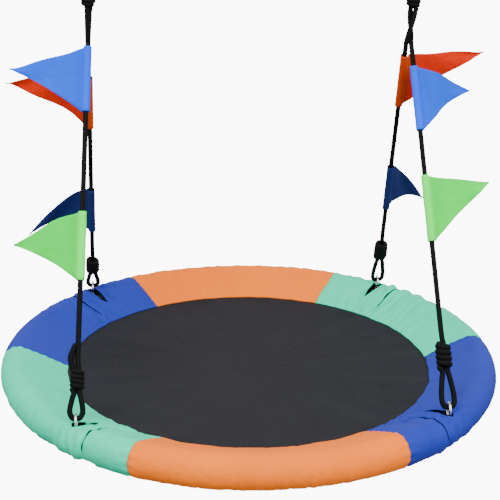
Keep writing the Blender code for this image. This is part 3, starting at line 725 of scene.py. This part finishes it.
def pennant(key):
    """A pennant: its cloth goes round the rope as a sleeve and then away from it to a point."""
    corner, distance, swing, tilt, curl, droop, upper, lower = PENNANTS[key]
    x, y = sides_of(corner)
    foot, up, _meet, _length = rope_line(corner)
    middle = foot + up * distance
    outward = (Vector((x, 0, 0)) - up * up.x * x).normalized()
    hand = x * y
    bm = bmesh.new()
    layer = bm.loops.layers.uv.verify()
    wrap, steps, rows = 20, 44, 22
    start_heading = math.radians(swing)
    # The cloth seen from above: round the rope first, then away from it along a bending line.
    line = []
    for i in range(wrap + 1):
        angle = start_heading * hand + math.radians(12 + SLEEVE_TURN * i / wrap)
        bulge = SLEEVE_RADIUS * (1 + 0.10 * math.cos(2 * angle))
        line.append((bulge * math.cos(angle), bulge * math.sin(angle), 0.0))
    reach = PENNANT * math.cos(math.radians(tilt)) - SLEEVE_RADIUS
    heading = start_heading * hand
    place = Vector((math.cos(heading), math.sin(heading))) * (SLEEVE_RADIUS + 0.0012)
    line.append((place.x, place.y, 0.0))
    for i in range(1, steps + 1):
        share = i / steps
        heading = (start_heading - math.radians(curl) * (share - 0.35) * 1.4) * hand
        heading += 0.10 * math.sin(share * 7 + distance * 20)
        place = place + Vector((math.cos(heading), math.sin(heading))) * reach / steps
        line.append((place.x, place.y, share))
    other = up.cross(outward)
    grid = []
    for a, b, share in line:
        half = POLE / 2 * max(1 - share, 0.035)
        bow = math.sin(math.pi * share)
        rise = PENNANT * math.sin(math.radians(tilt)) * share - droop * math.sin(math.pi * share)
        ring = []
        for j in range(rows + 1):
            v = 2 * j / rows - 1
            flutter = 0.0022 * math.sin(share * 9 + v * 2.0 + distance * 31) * smooth(share * 4)
            ripple = 0.0008 * noise.noise(Vector((share * 14, v * 5, distance * 50)))
            heading = start_heading * hand + math.pi / 2
            spread = flutter + ripple
            p = Vector((a + spread * math.cos(heading), b + spread * math.sin(heading)))
            edge = (upper if v > 0 else lower) * bow
            high = up * (v * (half + edge) + rise)
            ring.append(bm.verts.new(middle + outward * p.x + other * p.y + high))
        grid.append(ring)
    for i in range(len(grid) - 1):
        for j in range(rows):
            face = bm.faces.new((grid[i][j], grid[i + 1][j], grid[i + 1][j + 1], grid[i][j + 1]))
            face.smooth = True
            # The sleeve faces take the second material, with its painted light and shade colour.
            face.material_index = 1 if i < wrap + 1 or line[i][2] < 0.03 else 0
            for loop, (a, b) in zip(face.loops, ((i, j), (i + 1, j), (i + 1, j + 1), (i, j + 1))):
                loop[layer].uv = (a * 0.0035, b * POLE / rows)
    obj = made("pennant_" + key, bm, FLAGS_CLOTH[key.split("_")[0]], "pennant_" + key, "flag_" + key)
    skin = obj.modifiers.new("cloth", "SOLIDIFY")
    skin.thickness = 0.0008
    skin.offset = 0


for key in PENNANTS:
    pennant(key)


# ---- Steel fittings ----
def hoop(centre, radius, wire, count):
    """The centres and radii of an upright ring of wire."""
    return [centre + radius * Vector((0, math.sin(math.tau * i / count), math.cos(math.tau * i / count)))
            for i in range(count)], [wire] * count


def eye(corner):
    """An eye and the collar under it, on a shank that goes down into the tube."""
    centre = eye_place(corner)
    bm = bmesh.new()
    points, radii = hoop(centre + Vector((0, 0, EYE_Z)), EYE_RADIUS, EYE_WIRE, 48)
    sweep(bm, points, radii, 16, closed=True)
    lathe(bm, [(0.0026, -0.0192), (0.0030, -0.0186), (0.0030, 0.0128), (0.0050, 0.0128), (0.0052, 0.0134),
               (0.0052, 0.0152), (0.0048, 0.0158), (0.0030, 0.0175), (0.0026, 0.0215)],
          centre, Vector((0, 0, 1)), 24)
    obj = made("eye_" + corner, bm, STEEL, "saucer", "eye_bolt_" + corner, angle=35)


def top_ring(side_name, middle):
    bm = bmesh.new()
    points, radii = hoop(Vector((middle, 0, TOP_RING_Z)), TOP_RING_RADIUS, RING_WIRE, 64)
    sweep(bm, points, radii, 16, closed=True)
    obj = made("ring_" + side_name, bm, STEEL, "ring_" + side_name, "top_ring_" + side_name)


def hook_bend(middle, height, way):
    """Half a turn of the hook's wire: the lower bend with way 1, the upper one with way -1."""
    bend = []
    for i in range(25):
        across = way * HOOK_BEND * math.cos(math.pi * i / 24)
        down = way * HOOK_BEND * math.sin(math.pi * i / 24)
        bend.append((Vector((middle + across, 0, height - down)), HOOK_WIRE))
    return bend


def hook(side_name, middle):
    """A snap hook's body: a long link of wire, open on the side where its gate stands."""
    route = [(Vector((middle + HOOK_BEND, 0, HOOK_LOW + 0.0002)), HOOK_WIRE)]
    route += hook_bend(middle, HOOK_LOW, 1)[1:]
    route += [(Vector((middle - HOOK_BEND, 0, HOOK_LOW + (HOOK_HIGH - HOOK_LOW) * i / 6)), HOOK_WIRE)
              for i in range(1, 6)]
    route += hook_bend(middle, HOOK_HIGH, -1)
    points, radii = curve_points(route, 0.0018)
    bm = bmesh.new()
    sweep(bm, points, radii, 16)
    obj = made("hook_" + side_name, bm, STEEL, "hangers", "carabiner_" + side_name, angle=60)


def gate(side_name, middle):
    """A round gate with two cheeks that hold it on its pin."""
    gate_x = middle + HOOK_BEND
    bm = bmesh.new()
    lathe(bm, [(0.0028, -0.0378), (0.0036, -0.0372), (0.0038, -0.0364), (0.0038, -0.0156),
               (0.0034, -0.0142), (0.0028, -0.0138)],
          Vector((gate_x, 0, 0)), Vector((0, 0, 1)), 24)
    for y in (-0.0028, 0.0028):
        cheek = bmesh.ops.create_cube(bm, size=1.0)
        bmesh.ops.scale(bm, vec=(0.0070, 0.0016, 0.0128), verts=cheek["verts"])
        bmesh.ops.translate(bm, vec=(gate_x, y, -0.0420), verts=cheek["verts"])
    obj = made("gate_" + side_name, bm, STEEL, "gate_" + side_name, "carabiner_gate_" + side_name, angle=35)
    round_over = obj.modifiers.new("edges", "BEVEL")
    round_over.width = 0.0006
    round_over.segments = 2


def gate_pin(side_name, middle):
    bm = bmesh.new()
    lathe(bm, [(0.0016, -0.0042), (0.0020, -0.0040), (0.0015, -0.0036), (0.0015, 0.0036),
               (0.0020, 0.0040), (0.0016, 0.0042)],
          Vector((middle + HOOK_BEND, 0, GATE_PIN_Z)), Vector((0, 1, 0)), 20)
    obj = made("pin_" + side_name, bm, STEEL, "hangers", "gate_pin_" + side_name, angle=35)


for corner in CORNERS:
    eye(corner)

for side_name, x in (("right", 1), ("left", -1)):
    for fitting in (top_ring, hook, gate, gate_pin):
        fitting(side_name, x * TOP_X)

# The steel ring, its foam, screws and nuts keep their modelled shape inside the covers.
INNER_FINISHES = {"frame_tube": TUBE, "joint_screw": STEEL, "eye_nut": STEEL, "foam_sleeve": FOAM}
for node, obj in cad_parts.items():
    for kind, finish in INNER_FINISHES.items():
        if node.startswith(kind):
            obj.data.materials.clear()
            obj.data.materials.append(finish)


# ---- Studio ----
bpy.ops.mesh.primitive_plane_add(size=240, location=(0, 0, -3.2))
floor = bpy.context.object
n = Nodes("floor")
n.set(Base_Color=(0.25, 0.25, 0.25, 1), Roughness=0.9, Specular_IOR_Level=0.0)
glow = n.add("ShaderNodeEmission", Color=(1, 1, 1, 1), Strength=10.0)
seen = n.add("ShaderNodeLightPath")
mix = n.add("ShaderNodeMixShader")
n.link(seen, "Is Camera Ray", mix, 0)
n.link(n.shader, "BSDF", mix, 1)
n.link(glow, "Emission", mix, 2)
n.link(mix, "Shader", n.tree.nodes["Material Output"], "Surface")
floor.data.materials.append(n.material)

world = bpy.data.worlds.new("studio")
bpy.context.scene.world = world
world.use_nodes = True
sky = world.node_tree.nodes
links = world.node_tree.links
soft = sky["Background"]
soft.inputs["Color"].default_value = (1.0, 1.0, 1.0, 1)
soft.inputs["Strength"].default_value = 1.35
bright = sky.new("ShaderNodeBackground")
bright.inputs["Strength"].default_value = 10.0
seen = sky.new("ShaderNodeLightPath")
mix = sky.new("ShaderNodeMixShader")
links.new(seen.outputs["Is Camera Ray"], mix.inputs[0])
links.new(soft.outputs["Background"], mix.inputs[1])
links.new(bright.outputs["Background"], mix.inputs[2])
links.new(mix.outputs["Shader"], sky["World Output"].inputs["Surface"])


def softbox(name, place, target, size, power):
    light = bpy.data.lights.new(name, "AREA")
    light.shape = "DISK"
    light.size = size
    light.energy = power
    obj = bpy.data.objects.new(name, light)
    bpy.context.scene.collection.objects.link(obj)
    obj.location = place
    obj.rotation_euler = (Vector(target) - Vector(place)).to_track_quat("-Z", "Y").to_euler()


softbox("key", (-1.2, -1.9, 2.0), (0, 0, -0.7), 1.4, 85)
softbox("fill", (1.8, -2.4, 0.6), (0, 0, -0.5), 2.0, 45)

# ---- Camera: seen from the front, a little to the left and above ----
AZIMUTH, ELEVATION = math.radians(-95.24), math.radians(24.13)
AIM_UP, ROLL = math.radians(5.41), math.radians(0.674)
DISTANCE = 2.310
LENS = 80.35  # mm
direction = Vector((math.cos(AZIMUTH) * math.cos(ELEVATION), math.sin(AZIMUTH) * math.cos(ELEVATION),
                    math.sin(ELEVATION)))
straight = -direction
side = straight.cross(Vector((0, 0, 1))).normalized()
top = side.cross(straight)
ahead = straight * math.cos(AIM_UP) + top * math.sin(AIM_UP)
tilted = top * math.cos(AIM_UP) - straight * math.sin(AIM_UP)
right = side * math.cos(ROLL) + tilted * math.sin(ROLL)
above = tilted * math.cos(ROLL) - side * math.sin(ROLL)
camera = bpy.data.objects.new("camera", bpy.data.cameras.new("camera"))
bpy.context.scene.collection.objects.link(camera)
camera.data.lens = LENS
camera.data.sensor_width = 36
spin = Matrix((right, above, -ahead)).transposed().to_4x4()
camera.matrix_world = Matrix.Translation(Vector((0, 0, SAUCER_Z)) + direction * DISTANCE) @ spin
bpy.context.scene.camera = camera
